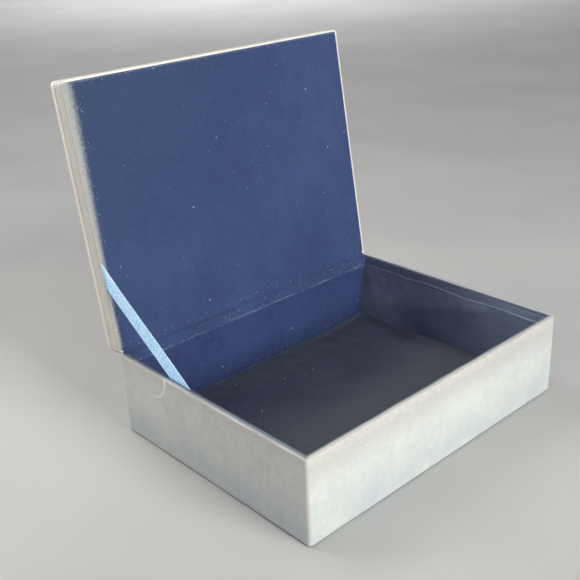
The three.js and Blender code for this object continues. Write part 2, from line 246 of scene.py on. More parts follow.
def make_piece(name, points, faces, material, wear, place=None, sharp=38):
    """A mesh object from points in millimetres, with its faces turned outward."""
    points = np.asarray(points, float).reshape(-1, 3) * MM
    mesh = bpy.data.meshes.new(name)
    mesh.from_pydata([tuple(p) for p in points], [], faces)
    attribute = mesh.attributes.new("wear", "FLOAT", "POINT")
    attribute.data.foreach_set("value", np.asarray(wear, np.float32).ravel())
    work = bmesh.new()
    work.from_mesh(mesh)
    bmesh.ops.remove_doubles(work, verts=work.verts, dist=1e-6)
    bmesh.ops.dissolve_degenerate(work, edges=work.edges, dist=1e-6)
    bmesh.ops.recalc_face_normals(work, faces=work.faces)
    work.to_mesh(mesh)
    work.free()
    if place is not None:
        mesh.transform(place)
    mesh.shade_smooth()
    mesh.set_sharp_from_angle(angle=math.radians(sharp))
    piece = bpy.data.objects.new(name, mesh)
    bpy.context.scene.collection.objects.link(piece)
    mesh.materials.append(material)
    return piece


def bar_faces(points):
    """Faces of a bar whose profile closes on itself, with a face over each end."""
    rows, columns = points.shape[:2]
    faces = lattice_faces(rows, columns, False, True)
    return [*faces, tuple(range(columns)), tuple(range((rows - 1) * columns, rows * columns))]


# ---- Material helpers ----


class Nodes:
    """The nodes of one material, its colour and its surface built up layer by layer."""

    def __init__(self, name, color):
        self.material = bpy.data.materials.new(name)
        self.material.use_nodes = True
        self.tree = self.material.node_tree
        self.shader = self.tree.nodes["Principled BSDF"]
        self.place = self.add("ShaderNodeTexCoord").outputs["Object"]
        self.color = color
        self.normal = None

    def feed(self, socket, value):
        """Gives an input a value or another node's output."""
        if isinstance(value, bpy.types.NodeSocket):
            self.tree.links.new(value, socket)
        else:
            socket.default_value = value

    def add(self, kind, inputs=None, **values):
        node = self.tree.nodes.new(kind)
        for key, value in values.items():
            setattr(node, key, value)
        for key, value in (inputs or {}).items():
            self.feed(node.inputs[key], value)
        return node

    def set(self, **values):
        for key, value in values.items():
            self.feed(self.shader.inputs[key.replace("_", " ")], value)

    def noise(self, size, detail=3.0, rough=0.55, stretch=(1, 1, 1)):
        """Noise whose features are about size millimetres across, 0 to 1."""
        place = self.add("ShaderNodeMapping", {"Scale": stretch, "Vector": self.place})
        inputs = {"Scale": 1 / (size * MM), "Detail": detail, "Roughness": rough}
        inputs["Vector"] = place.outputs["Vector"]
        return self.add("ShaderNodeTexNoise", inputs).outputs["Fac"]

    def between(self, value, low, high, top=1.0, bottom=0.0):
        """value from low to high becomes bottom to top."""
        inputs = {"Value": value, "From Min": low, "From Max": high}
        inputs |= {"To Min": bottom, "To Max": top}
        node = self.add("ShaderNodeMapRange", inputs, interpolation_type="SMOOTHSTEP")
        return node.outputs["Result"]

    def math(self, operation, a, b):
        clamp = operation == "MULTIPLY"
        node = self.add("ShaderNodeMath", {0: a, 1: b}, operation=operation, use_clamp=clamp)
        return node.outputs[0]

    def times(self, a, b):
        return self.math("MULTIPLY", a, b)

    def most(self, a, b):
        return self.math("MAXIMUM", a, b)

    def along(self, axis):
        """The place along one axis in metres: X to the right, Y to the back, Z above the ground."""
        return self.add("ShaderNodeSeparateXYZ", {0: self.place}).outputs[axis]

    def wear(self):
        """The wear attribute: above 0 rubbed, in places painted highlight and sheen; below 0 dirt and painted
        shade.
        """
        return self.add("ShaderNodeAttribute", attribute_name="wear").outputs["Fac"]

    def dirt_and_shade_mask(self):
        """1 where the wear attribute asks for dirt and painted shade, and 0 where there is none."""
        return self.between(self.wear(), low=-0.15, high=-0.8)

    def rubbed(self, size, soft=0.25):
        """Wear broken into flecks of about size millimetres, more of them where it is greater."""
        total = self.math("ADD", self.wear(), self.noise(size, detail=4, rough=0.7))
        return self.between(total, 1.0, 1.0 + soft)

    def specks(self, spacing, share, seed, stretch=(1, 1, 1)):
        """Small scattered dots, one here and there in cells of that spacing in millimetres."""
        cells = self.add("ShaderNodeTexVoronoi", {"Scale": 1 / (spacing * MM)}, feature="F1")
        shift = (seed, 2.3 * seed, 0.7 * seed)
        inputs = {"Location": shift, "Scale": stretch, "Vector": self.place}
        place = self.add("ShaderNodeMapping", inputs)
        self.feed(cells.inputs["Vector"], place.outputs["Vector"])
        near = self.between(cells.outputs["Distance"], 0.16, 0.06)
        split = self.add("ShaderNodeSeparateColor", {0: cells.outputs["Color"]})
        chosen = self.between(split.outputs[0], 1 - share, 1 - 0.7 * share)
        return self.times(near, chosen)

    def paint(self, share, tone):
        """Covers the colour so far with that share of another tone."""
        below = self.color if isinstance(self.color, bpy.types.NodeSocket) else (*self.color, 1)
        inputs = {"Factor": share, 6: below, 7: (*tone, 1)}
        self.color = self.add("ShaderNodeMix", inputs, data_type="RGBA").outputs[2]

    def bump(self, height, depth):
        """Adds bumps about depth millimetres high."""
        node = self.add("ShaderNodeBump", {"Strength": 1, "Distance": depth * MM, "Height": height})
        if self.normal:
            self.feed(node.inputs["Normal"], self.normal)
        self.normal = node.outputs["Normal"]

    def finish(self, roughness=None):
        self.set(Base_Color=self.color)
        if self.normal:
            self.set(Normal=self.normal)
        if roughness:
            self.set(Roughness=roughness)
        return self.material


def scaled(color, factor):
    """A lighter or darker tone of a colour."""
    return tuple(factor * c for c in color)


LINT_WHITE = (0.93, 0.93, 0.92)
SPECK_GREY = (0.36, 0.35, 0.33)
LINT_BLUE = (0.5, 0.53, 0.62)
FLUFF_BLUE = (0.13, 0.17, 0.25)

# Where painted shade turns the paper bluish near the ground and duller high up on the front, in metres.
SHADE_BAND = (0.034, 0.004)
FRONT_SHADE_BAND = (0.032, 0.055)
FRONT_FACE = (-0.086, -0.0892)


def silver_paper(name, base, cool, warm, worn, shade, dirt_and_shade_tone, painted_front_shade=None):
    """Silvery covering paper: mottled, crossed by fibres, worn along edges, with painted bluish shade
    near the ground. The last colour, if given, is painted shade high up on the front."""
    n = Nodes(name, base)
    n.set(Metallic=0.22, IOR=1.45)
    mottle = n.noise(7, detail=5, rough=0.62)
    clouds = n.noise(38, rough=0.5)
    lengthwise = n.noise(1.5, detail=4, rough=0.6, stretch=(0.25, 0.25, 1.6))
    crosswise = n.noise(1.5, detail=4, rough=0.6, stretch=(1.4, 1.4, 0.22))
    fibres = n.math("ADD", n.times(lengthwise, 0.5), n.times(crosswise, 0.5))
    grain = n.noise(0.9, detail=2, rough=0.8)
    blots = n.noise(2.6, rough=0.7)
    n.paint(n.between(mottle, 0.34, 0.66), cool)
    n.paint(n.between(grain, 0.45, 0.75, top=0.4), scaled(base, 0.86))
    n.paint(n.between(clouds, 0.42, 0.68, top=0.6), warm)
    n.paint(n.between(fibres, 0.46, 0.62, top=0.22), scaled(base, 1.12))
    n.paint(n.between(blots, 0.62, 0.78, top=0.22), scaled(cool, 0.8))
    # Painted shade: the paper bluish, in patches, near the ground.
    low = n.between(n.along("Z"), *SHADE_BAND)
    patchy = n.between(n.noise(30, detail=4, rough=0.6), 0.25, 0.7, top=0.75)
    n.paint(n.times(low, patchy), shade)
    # Painted shade: the paper duller high up on the front.
    if painted_front_shade:
        front = n.between(n.along("Y"), *FRONT_FACE)
        high = n.between(n.along("Z"), *FRONT_SHADE_BAND, top=0.9)
        n.paint(n.times(front, high), painted_front_shade)
    # Wear; on the tray it also paints shade in the band below the rim, on the lid highlights on its board edge and
    # lip.
    n.paint(n.rubbed(2.4, soft=0.4), worn)
    # Dirt and painted shade, where the wear attribute is below 0.
    n.paint(n.dirt_and_shade_mask(), dirt_and_shade_tone)
    # Wear above 1 paints the paper brighter: scuffs, and the painted highlight on the pressed half moon's ridge.
    scuffed_and_highlight = n.between(n.wear(), 1.05, 1.3)
    n.paint(scuffed_and_highlight, scaled(base, 1.3))
    n.paint(n.specks(spacing=4.0, share=0.10, seed=3.1), LINT_WHITE)
    n.paint(n.specks(spacing=4.6, share=0.015, seed=7.7), SPECK_GREY)
    n.bump(fibres, depth=0.09)
    n.bump(mottle, depth=0.12)
    roughness = n.between(n.noise(5), 0.3, 0.7, top=0.62, bottom=0.44)
    return n.finish(roughness)


# Where painted sheen lightens the velvet, towards the front, and where it is duller, up and to the left, in
# metres.
FRONT_SHEEN_BAND = (0.045, -0.085)
DULL_BAND = (0.12, 0.36)


def velvet(name, deep, lit, sheen, tint, edge, fade=0.45, front_sheen=None, high_left=None):
    """Short-pile velvet: patches where the nap lies another way, a dusting of lint, worn pale edges
    that fade in over that much wear. The colour for the case's front is a painted sheen that
    lightens it there, and high_left its duller colour high up on the left."""
    n = Nodes(name, deep)
    n.set(Roughness=0.85, IOR=1.35)
    n.set(Sheen_Weight=sheen, Sheen_Roughness=0.42, Sheen_Tint=(*tint, 1))
    patches = n.noise(48, detail=4, rough=0.6)
    brushed = n.noise(9, detail=4, rough=0.65, stretch=(1, 1, 0.55))
    pile = n.noise(0.9, rough=0.7)
    lie = n.math("ADD", n.times(patches, 0.6), n.times(brushed, 0.4))
    n.paint(n.between(lie, 0.36, 0.62), lit)
    n.paint(n.between(pile, 0.44, 0.7, top=0.55), scaled(lit, 1.35))
    dust_and_painted_light = n.between(n.noise(42, rough=0.6), 0.42, 0.66)
    grains = n.between(n.noise(0.7, detail=2, rough=0.8), 0.5, 0.7)
    n.paint(n.times(n.times(dust_and_painted_light, grains), 0.5), scaled(lit, 2.2))
    # Painted sheen: the velvet lighter and greyer towards the case's front.
    if front_sheen:
        n.paint(n.between(n.along("Y"), *FRONT_SHEEN_BAND), front_sheen)
    if high_left:
        up_left = n.math("SUBTRACT", n.along("Z"), n.along("X"))
        n.paint(n.between(up_left, *DULL_BAND, top=0.6), high_left)
    n.paint(n.rubbed(1.6, fade), edge)
    # Dirt and painted shade, where the wear attribute is below 0.
    n.paint(n.dirt_and_shade_mask(), scaled(deep, 0.3))
    lint = n.most(
        n.specks(spacing=2.3, share=0.06, seed=1.3),
        n.specks(spacing=5.0, share=0.10, seed=5.9),
    )
    lint = n.times(lint, n.between(n.noise(30, rough=0.6), 0.4, 0.62))
    crumbs = n.most(
        n.specks(spacing=2.6, share=0.95, seed=8.2),
        n.specks(spacing=1.9, share=0.95, seed=3.9),
    )
    crumbs = n.times(crumbs, n.between(n.wear(), 0.08, 0.3))
    fluff = n.most(
        n.specks(spacing=2.6, share=0.5, seed=2.6, stretch=(1, 1, 0.5)),
        n.specks(spacing=3.0, share=0.4, seed=6.4, stretch=(0.45, 1, 1)),
    )
    n.paint(n.times(fluff, 0.6), FLUFF_BLUE)
    n.paint(n.most(lint, crumbs), LINT_BLUE)
    n.bump(pile, depth=0.16)
    n.bump(brushed, depth=0.35)
    return n.finish()


THREAD_BLUE = (0.46, 0.68, 0.98)
THREAD_PALE = (0.86, 1.0, 1.0)
THREAD_SHADOW = (0.05, 0.13, 0.27)
RIBBON_FADED = (0.72, 0.88, 0.98)
SELVEDGE_PALE = (0.92, 0.98, 1.0)


def ribbon_weave(name):
    """Flat woven ribbon: fine ribs across it, speckled threads and brighter selvedges."""
    n = Nodes(name, THREAD_BLUE)
    n.set(IOR=1.45, Sheen_Weight=0.6, Sheen_Roughness=0.4, Sheen_Tint=(0.8, 0.92, 1, 1))
    n.set(Subsurface_Weight=0.4, Subsurface_Scale=0.002, Subsurface_Radius=(1, 1.1, 1.4))
    # Painted light: a faint blue glow that brightens the ribbon, though it is no lamp.
    n.set(Emission_Color=(0.33, 0.64, 0.98, 1), Emission_Strength=0.5)
    cloth = n.add("ShaderNodeUVMap", uv_map="weave").outputs["UV"]
    waves = []
    for direction, scale, wander in (("Y", 0.38, 0.8), ("X", 0.62, 0.6)):
        inputs = {"Scale": scale, "Distortion": wander, "Vector": cloth}
        wave = n.add("ShaderNodeTexWave", inputs, wave_type="BANDS", bands_direction=direction)
        waves.append(wave.outputs["Fac"])
    weave = n.times(*waves)
    speckle = n.noise(1.2, detail=4, rough=0.9)
    n.paint(n.between(weave, 0.0, 0.8), THREAD_PALE)
    n.paint(n.between(speckle, 0.50, 0.56, top=0.95), THREAD_SHADOW)
    n.paint(n.between(n.noise(12), 0.45, 0.7, top=0.3), RIBBON_FADED)
    n.paint(n.wear(), SELVEDGE_PALE)
    n.bump(weave, depth=0.14)
    n.bump(speckle, depth=0.08)
    return n.finish(n.between(speckle, 0.3, 0.7, top=0.66, bottom=0.5))


def board(name, pale, dark, grain, roughness):
    """Plain pulp board, brown paper or wadding: two tones with a fibrous surface."""
    n = Nodes(name, pale)
    n.set(IOR=1.4)
    flecks = n.noise(grain, detail=5, rough=0.7)
    streaks = n.noise(3 * grain, detail=4, rough=0.6, stretch=(0.3, 1, 1))
    n.paint(n.between(flecks, 0.35, 0.65), dark)
    n.paint(n.between(streaks, 0.45, 0.7, top=0.4), scaled(pale, 1.1))
    n.paint(n.specks(spacing=3 * grain, share=0.2, seed=4.4), scaled(dark, 0.5))
    rough = n.between(flecks, 0.3, 0.7, top=roughness, bottom=roughness - 0.12)
    n.bump(flecks, depth=0.15)
    return n.finish(rough)


# The tray's worn colour, darker than the paper, paints wear and also painted shade in the band below the rim.
PAPER_TRAY = silver_paper(
    "silver_paper_tray",
    base=(0.69, 0.70, 0.675),
    cool=(0.61, 0.635, 0.635),
    warm=(0.74, 0.76, 0.69),
    worn=(0.65, 0.615, 0.60),
    shade=(0.50, 0.56, 0.63),
    dirt_and_shade_tone=(0.13, 0.16, 0.22),
    painted_front_shade=(0.555, 0.54, 0.52),
)
# The lid's worn colour, a bright cream, paints wear and also painted highlights on the board edge and the lip.
PAPER_LID = silver_paper(
    "silver_paper_lid",
    base=(0.755, 0.73, 0.685),
    cool=(0.67, 0.665, 0.645),
    warm=(0.795, 0.745, 0.68),
    worn=(0.96, 0.89, 0.80),
    shade=(0.62, 0.61, 0.60),
    dirt_and_shade_tone=(0.30, 0.29, 0.27),
)
VELVET = velvet(
    "navy_velvet",
    deep=(0.021, 0.034, 0.110),
    lit=(0.029, 0.047, 0.140),
    sheen=0.6,
    tint=(0.36, 0.46, 0.80),
    edge=(0.17, 0.22, 0.35),
)
LID_VELVET = velvet(
    "navy_velvet_lid",
    deep=(0.029, 0.046, 0.132),
    lit=(0.040, 0.063, 0.163),
    sheen=0.6,
    tint=(0.37, 0.48, 0.77),
    edge=(0.42, 0.43, 0.42),
    fade=1.35,
    high_left=(0.038, 0.066, 0.130),
)
# Painted light: a darker, greyer copy of the navy velvet, for the floor and the front and left rim strips, its
# grey standing in for the pile's sheen.
FLOOR_VELVET = velvet(
    "navy_velvet_floor",
    deep=(0.020, 0.022, 0.049),
    lit=(0.034, 0.037, 0.066),
    sheen=0.5,
    tint=(0.5, 0.56, 0.66),
    edge=(0.16, 0.18, 0.22),
    front_sheen=(0.175, 0.20, 0.212),
)
# Painted light: a lighter, greyer copy of the navy velvet, for the right wall and its rim strip.
LIT_COPY_VELVET = velvet(
    "navy_velvet_lit_copy",
    deep=(0.112, 0.133, 0.225),
    lit=(0.150, 0.175, 0.268),
    sheen=1.0,
    tint=(0.55, 0.60, 0.74),
    edge=(0.40, 0.45, 0.55),
    front_sheen=(0.36, 0.44, 0.57),
)
RIBBON = ribbon_weave("blue_ribbon_weave")
# Each pulp's pale and dark tone, grain in millimetres and roughness.
PULPS = {
    "greyboard": ((0.42, 0.39, 0.34), (0.30, 0.28, 0.24), 1.2, 0.95),
    "kraft_paper": ((0.48, 0.34, 0.18), (0.38, 0.26, 0.13), 0.8, 0.85),
    "base_paper": ((0.52, 0.53, 0.51), (0.43, 0.44, 0.43), 0.9, 0.85),
    "wadding": ((0.80, 0.79, 0.75), (0.66, 0.65, 0.61), 1.6, 0.98),
}
HIDDEN = {name: board(name, *look) for name, look in PULPS.items()}
HIDDEN |= {"silver_paper": PAPER_TRAY, "navy_velvet": VELVET, "blue_ribbon": RIBBON}


# ---- Tray ----

# The liner card on the right has come loose at its foot, towards the back.
LOOSE_FOOT = 10.5
LOOSE_LENGTH = 75.0

# The pressed half moon on the left wall, as seen from outside: its middle, size and relief.
MOON_FROM_BACK = 35.0
MOON_BELOW_RIM = 2.0
MOON_RADIUS = 16.0
MOON_WIDTH = 0.6
MOON_RELIEF = 0.7
MOON_END = math.radians(80)
MOON_HOLLOW = 0.12

# The scuffs below it: how far from the back, how far below the rim and how wide.
SCUFFS = ((37.5, 19.2, 0.7), (38.8, 21.4, 0.6), (36.2, 21.6, 0.55), (41.5, 20.6, 0.5))
SCUFF_RELIEF = 0.22


def moon_relief(y, z):
    """How far the pressed half moon and the scuffs below it stand out of the left wall."""
    forward = (HALF_Y - MOON_FROM_BACK) - y
    down = (RIM - MOON_BELOW_RIM) - z
    away = np.hypot(forward, np.maximum(down, 0))
    angle = np.arctan2(down, forward)
    shown = (forward > 0) * ease(angle, MOON_END + 0.12, MOON_END - 0.05)
    relief = MOON_RELIEF * bell(away, MOON_RADIUS, MOON_WIDTH) * shown
    relief -= MOON_HOLLOW * ease(away, MOON_RADIUS, MOON_RADIUS - 5) * shown
    for from_back, below, size in SCUFFS:
        spot = np.hypot(y - (HALF_Y - from_back), z - (RIM - below))
        relief += SCUFF_RELIEF * bell(spot, 0, size)
    return relief


OVERLAP_INSET = 3.4
OVERLAP_LEAN = 0.02
OVERLAP_RELIEF = 0.2


def wrapped_edge(y, z):
    """The overlap of the covering paper beside the tray's back left edge."""
    from_back = HALF_Y - y
    fold = OVERLAP_RELIEF * bell(from_back - OVERLAP_INSET, OVERLAP_LEAN * (RIM - z), 0.5)
    return fold * ease(z, 14, 30)


# The tray cover's mesh is finer round the half moon: along the left wall, and below the rim.
FINE_STEP = 0.45
FINE_STRETCH = ("left", 34, 62, FINE_STEP)
FINE_DEPTH = 24
PAPER_CLEAR = 0.05
TRAY_SINK = 0.12

# Wear of the tray's paper, with painted shade in the band below the rim and on the rim, and a painted highlight on
# the half moon.
BAND_WEAR_AND_SHADE = 0.75
CORNER_WEAR = 0.8
FOOT_WEAR = 0.3
MOON_WEAR_AND_HIGHLIGHT = 1.4
RIM_SHADE = 0.25
LEFT_RIM_SHADE = 0.22
FRONT_RIM_LESS_SHADE = 0.20
INNER_RIM_SHADE = 0.66
INNER_FRONT_LESS_SHADE = 0.24


def tray_cover():
    """Silver paper round the walls, over the rim and under the base."""
    inner = WALL_INSET + PAPER_CLEAR
    corners = [
        (TURN_IN_BELOW, COVER_BOTTOM, 0), (0, COVER_BOTTOM, 1.3), (0, RIM, 1.1),
        (inner, RIM, 0.45), (inner, RIM - COVERING, 0),
        (COVERING, RIM - COVERING, 0.7), (COVERING, COVER_BOTTOM + COVERING, 0.9),
        (TURN_IN_BELOW, COVER_BOTTOM + COVERING, 0),
    ]
    profile = soft_path(corners, MESH_STEP, bends=6)
    rising = (profile[:, 0] < 1e-6) & (profile[:, 1] > RIM - FINE_DEPTH)
    extra = [(0.0, z) for z in np.arange(RIM - FINE_DEPTH, RIM - 1.3, FINE_STEP)]
    first, *_, last = np.flatnonzero(rising)
    profile = np.concatenate([profile[:first], extra, profile[last + 1 :]])
    samples = outline(CORNER_RADIUS, MESH_STEP, (FINE_STRETCH,))
    points = sweep(samples, CORNER_RADIUS, profile)
    outer = (profile[:, 0] < COVERING - 1e-3)[None, :] * np.ones(len(samples))[:, None]
    x, y, z = axes(points)
    swell = 0.10 * ripples(points, 45, seed=11) + 0.04 * ripples(points, 9, seed=12)
    left = np.clip(-samples[:, 2], 0, 1)[:, None] ** 4
    swell = swell + left * (moon_relief(y, z) + wrapped_edge(y, z)) - TRAY_SINK
    push = outer * swell * ease(z, 1.0, 3.0)
    push_out(points, samples, push)
    near_rim = ease(z, RIM - 3, RIM - 1)
    back = np.clip(samples[:, 3], 0, 1)[:, None]
    z += near_rim * (0.10 * ripples(points, 26, seed=13) - 0.1 - 0.3 * back)
    corner = ease(HALF_X - np.abs(x) + HALF_Y - np.abs(y), 5.5, 1.0)
    # The band below the rim: wear, and painted shade.
    band = BAND_WEAR_AND_SHADE * ease(z, RIM - 15, RIM - 4)
    wear = np.maximum(band, CORNER_WEAR * corner) + FOOT_WEAR * ease(z, 3, 0.8)
    # The half moon's ridge: wear, and a painted highlight.
    wear = wear + left * ease(moon_relief(y, z), 0.1, 0.5) * MOON_WEAR_AND_HIGHLIGHT
    inner_rim = ease(profile[:, 0] - 2.0 - 0.25 * ripples(points, 24, seed=14), -0.5, 0.5)
    on_rim = ease(z, RIM - 1.0, RIM - 0.4) * (profile[:, 0] > 0.3)[None, :]
    front = np.clip(-samples[:, 3], 0, 1)[:, None] ** 4
    # Painted shade on the rim's top: most on the left and along its inner edge, least at the front.
    shaded = RIM_SHADE + LEFT_RIM_SHADE * left - FRONT_RIM_LESS_SHADE * front
    inner_shade = INNER_RIM_SHADE - INNER_FRONT_LESS_SHADE * front
    wear = wear * (1 - on_rim) - on_rim * (shaded + (inner_shade - shaded) * inner_rim)
    wear = np.clip(wear, -1, 1.5)
    faces = lattice_faces(*points.shape[:2], True, True)
    cover = make_piece("tray_cover", points, faces, PAPER_TRAY, wear)
    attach(cover, "tray")
    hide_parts("tray_cover_paper")


# The velvet lies this far clear of the board or card behind it.
CLEAR = 0.1
# Painted shade on the right strip's top; wear on the other strips' tops.
SHADED_RIGHT_TOP = -0.7
RUBBED_TOP = 0.6


def rim_linings():
    """The velvet strips above the liners on the front, left and right walls."""
    foot = LINER_TOP - 1
    back, face = WALL_INSET + CLEAR, LINING_FACE + CLEAR
    top = LINING_TOP
    corners = [(back, foot, 0), (back, top, 0.3), (face, top - 0.1, 1.1), (face, foot, 0)]
    profile = soft_path(corners, 1.0)
    for seed, side in enumerate(("front", "left", "right")):
        dust_and_painted_light = side == "right"
        points = wall_bar(side, profile, 2.0)
        z = points[..., 2]
        z += 0.12 * ripples(points, 18, seed=20 + seed) * ease(z, LINER_TOP, RIM)
        # The right strip is the lit copy of the velvet, its top darkened with painted shade.
        wear = ease(z, LINING_TOP - 1.2, LINING_TOP - 0.3) * (SHADED_RIGHT_TOP if dust_and_painted_light else RUBBED_TOP)
        cloth = LIT_COPY_VELVET if dust_and_painted_light else FLOOR_VELVET
        faces = bar_faces(points)
        strip = make_piece(f"rim_velvet_{side}", points, faces, cloth, wear)
        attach(strip, "tray")
        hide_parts(f"rim_lining_{side}")


def loose_base(y, z):
    """How far the foot of the right liner has come away from its wall, towards the back."""
    along = ease(y, HALF_Y - LOOSE_LENGTH, HALF_Y - 10)
    return LOOSE_FOOT * along * np.clip((LINER_TOP - z) / LINER_TOP, 0, 1)


# Each liner: the axis its face moves along, and the way out of its wall.
LINER_WAYS = {"front": (1, 1), "back": (1, -1), "left": (0, 1), "right": (0, -1)}
TOP_LINE_WEAR = 0.7
RIGHT_TOP_LINE_SHADE = -0.45
FOOT_STREAK = 0.56
STREAK_ABOVE_FOOT = 9


def wall_liners():
    """Velvet over each liner card, its top edge rolled, its face slightly uneven."""
    foot, card_top = LINER_BOTTOM + CLEAR, CARD_TOP + CLEAR
    corners = [
        (LINER_FACE, foot, 0), (LINER_FACE, LINER_TOP, 1.3), (WALL_INSET + CLEAR, LINER_TOP, 0),
        (WALL_INSET + CLEAR, card_top, 0), (CARD_FACE + CLEAR, card_top, 0),
        (CARD_FACE + CLEAR, foot, 0),
    ]
    profile = soft_path(corners, MESH_STEP)
    face = ease(profile[:, 0], LINER_FACE - 0.8, LINER_FACE - 0.1)[None, :]
    for seed, (side, (axis, sign)) in enumerate(LINER_WAYS.items()):
        points = wall_bar(side, profile, MESH_STEP)
        x, y, z = axes(points)
        swell = 0.22 * ripples(points, 42, seed=30 + seed)
        swell = swell + 0.10 * ripples(points, 11, seed=40 + seed)
        points[..., axis] += sign * face * swell
        if side == "right":
            x -= loose_base(y, z)
        z += ease(z, LINER_TOP - 3, LINER_TOP) * 0.28 * ripples(points, 30, seed=50 + seed)
        line = ease(z, LINER_TOP - 1.3, LINER_TOP - 0.3)
        wear = line * (TOP_LINE_WEAR + 0.07 * ripples(points, 30, seed=60 + seed))
        # The right liner's top line is darkened with painted shade.
        if side == "right":
            wear = RIGHT_TOP_LINE_SHADE * ease(z, LINER_TOP - 2.2, LINER_TOP - 1.0)
        if side == "back":
            streak = bell(z, LINER_BOTTOM + STREAK_ABOVE_FOOT, 1.6)
            wear = wear + FOOT_STREAK * streak * face * ease(x, -90, 0)
        faces = bar_faces(points)
        # The right liner is the lit copy of the velvet: painted light.
        cloth = LIT_COPY_VELVET if side == "right" else VELVET
        liner = make_piece(f"wall_velvet_{side}", points, faces, cloth, wear)
        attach(liner, "tray")
        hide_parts(f"liner_velvet_{side}")


# Mesh lines of a padded piece: their distances from its edge, then the border and step inside.
PAN_EDGE_LINES = np.array([0, 0.15, 0.45, 0.9, 1.5, 2.3, 3.4, 5.0])
PAN_BORDER = 7
PAN_STEP = 3.2
PAN_CLOTH = 0.55
PAN_ROLL = 0.75


def velvet_pan(name, half_x, half_y, top, bottom, edge, corner, shape, material, place, wear_at):
    """A velvet sheet over a pad: a soft top with rolled edges, and a skirt down to bottom."""

    def lines(half):
        inside = half - PAN_BORDER
        inner = np.linspace(-inside, inside, round(2 * inside / PAN_STEP) + 1)
        return np.concatenate([PAN_EDGE_LINES - half, inner, half - PAN_EDGE_LINES[::-1]])

    x, y = np.meshgrid(lines(half_x), lines(half_y), indexing="ij")
    over_x = np.maximum(np.abs(x) - (half_x - corner), 0)
    over_y = np.maximum(np.abs(y) - (half_y - corner), 0)
    away = np.hypot(over_x, over_y)
    in_corner = (over_x > 0) & (over_y > 0)
    pull = np.where(in_corner, np.minimum(1, corner / np.maximum(away, 1e-9)), 1)
    x = np.sign(x) * (np.minimum(np.abs(x), half_x - corner) + over_x * pull)
    y = np.sign(y) * (np.minimum(np.abs(y), half_y - corner) + over_y * pull)
    reach = np.minimum(half_x - np.abs(x), half_y - np.abs(y))
    reach = np.where(in_corner, corner - np.minimum(away, corner), reach)
    reach = np.clip(reach, 0, edge)
    side = 1 if top > bottom else -1
    rolled = edge - np.sqrt(np.maximum(edge**2 - (edge - reach) ** 2, 0))
    z = top - side * rolled * PAN_ROLL
    points = np.stack([x, y, z], 2)
    points = shape(points, reach / edge)
    wear = wear_at(points, reach)
    rows, columns = points.shape[:2]
    last = rows * columns - 1
    loop = [*range(0, last, columns), *range(last - columns + 2, last)]
    loop += [*range(last, 0, -columns), *range(columns - 2, 0, -1)]
    flat = points.reshape(-1, 3)
    skirt = flat[loop].copy()
    skirt[:, 2] = bottom
    faces = lattice_faces(rows, columns, False, False)
    count = len(loop)
    low = [len(flat) + k for k in range(count)]
    faces += [(loop[k - 1], loop[k], low[k], low[k - 1]) for k in (*range(1, count), 0)]
    flat = np.concatenate([flat, skirt])
    wear = np.concatenate([wear.ravel(), np.zeros(count)])
    pan = make_piece(name, flat, faces, material, wear, place, 60)
    thick = pan.modifiers.new("cloth", "SOLIDIFY")
    thick.thickness = PAN_CLOTH * MM
    thick.offset = -1
    return pan


# The lifted corner of the floor pad, and the soft fold beside its edges there.
LIFT_REACH = 46.0
LIFT_HEIGHT = 3.4
FOLD_HEIGHT = 1.3
FOLD_INSET = 8.5
FOLD_WIDTH = 3.2
FOLD_FADE = (100, 35)
PAD_ROLL = 2.6
PAN_CORNER = 2.0
PAD_EDGE_SHADE = 0.35


def floor_pad():
    """The padded floor: softly uneven, its back right corner lifted off the base."""
    half_x, half_y = PAD_HIGH[0], PAD_HIGH[1]

    def shape(points, inside):
        x, y, z = axes(points)
        swell = 0.32 * ripples(points, 70, seed=61) + 0.12 * ripples(points, 18, seed=62) - 0.1
        corner = np.hypot(half_x - x, 0.8 * (half_y - y))
        lift = LIFT_HEIGHT * ease(corner, LIFT_REACH, 0) ** 1.2
        from_edge = np.minimum(half_x - x, half_y - y)
        fold = FOLD_HEIGHT * bell(from_edge, FOLD_INSET, FOLD_WIDTH) * ease(corner, *FOLD_FADE)
        z += swell * inside + lift + fold
        return points

    def worn(points, reach):
        # Painted shade along the pad's rolled edge, where it meets the walls.
        return -PAD_EDGE_SHADE * ease(reach, 1.2, 0.2)

    heights = (PAD_HIGH[2], PAD_LOW[2] + CLEAR)
    size = (half_x, half_y, *heights, PAD_ROLL, PAN_CORNER)
    pad = velvet_pan("floor_pad", *size, shape, FLOOR_VELVET, None, worn)
    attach(pad, "tray")
    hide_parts("floor_velvet")


# ---- Lid ----

GROOVE_WIDTH = 0.3
GROOVE_DEPTH = 0.4
BOARD_BULGE = 0.22


def spine_shift(inset, height, thickness):
    """How much further in the rounded spine edge lies than the profile's inset says."""
    radius = SPINE_RADIUS - thickness
    above = np.clip(height - (LID_TOP - SPINE_RADIUS), 0, radius)
    drop = SPINE_RADIUS - np.sqrt(np.maximum(radius**2 - above**2, 0))
    return np.maximum(drop - inset, 0)


# The lid's mouth: how far in its lip goes, and the heights of the lip's inner edge and end.
LIP = 1.4
LIP_TOP = 1.7
LIP_DEPTH = 0.1
SEAM = LID_BOARD_BOTTOM - 1.1
NEAR_EDGE = 5
TOP_RINGS = (8, 16, 26, 38, 52, 66, 78, HALF_Y - 3)
LID_SINK = 0.15
TOP_SINK = 0.12

# Wear of the lid's paper, with painted highlights on its board edge and lip, dirt and painted shade in its groove
# and creases, and painted shade on its top and left lip.
BOARD_EDGE_WEAR_AND_HIGHLIGHT = 0.95
MOUTH_WEAR = 0.35
GROOVE_GRIME_AND_SHADE = 1.1
CREASE_GRIME_AND_SHADE = 0.6
TOP_SHADE = 0.29
TOP_EDGE_LIGHT = 0.2
LIP_WEAR_AND_HIGHLIGHT = 0.95
LEFT_LIP_SHADE = 1.5


